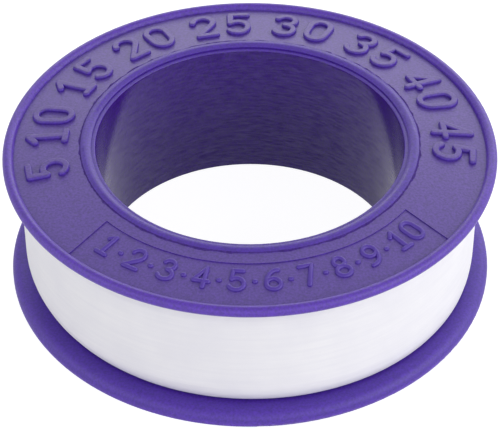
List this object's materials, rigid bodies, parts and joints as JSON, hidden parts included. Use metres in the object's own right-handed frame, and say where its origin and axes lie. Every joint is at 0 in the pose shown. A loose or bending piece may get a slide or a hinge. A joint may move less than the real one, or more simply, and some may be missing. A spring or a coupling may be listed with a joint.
{
  "type": "thread seal tape roll",
  "caption": "Roll of white thread seal tape wound on a purple two-piece moulded spool, with round-edged flanges and a wide open bore.",
  "frame": {"origin": "on the spool's axis, in the plane that the lower flange rests on", "axes": "+Z along the spool's axis, from the lower flange to the upper one; the tape's free end is on the +Y side"},
  "size_m": [0.05, 0.05, 0.0161],
  "materials": {
    "spool_plastic": "satin moulded",
    "seal_tape": "soft matt"
  },
  "bodies": {
    "spool": {"spool_base": "spool_plastic", "snap_flange": "spool_plastic"},
    "winding": {"tape": "seal_tape"}
  },
  "joints": [
    {"name": "tape_turn", "type": "hinge", "parent": "spool", "child": "winding", "pos_m": [0, 0, 0.008], "axis": [0, 0, 1], "continuous": true}
  ]
}
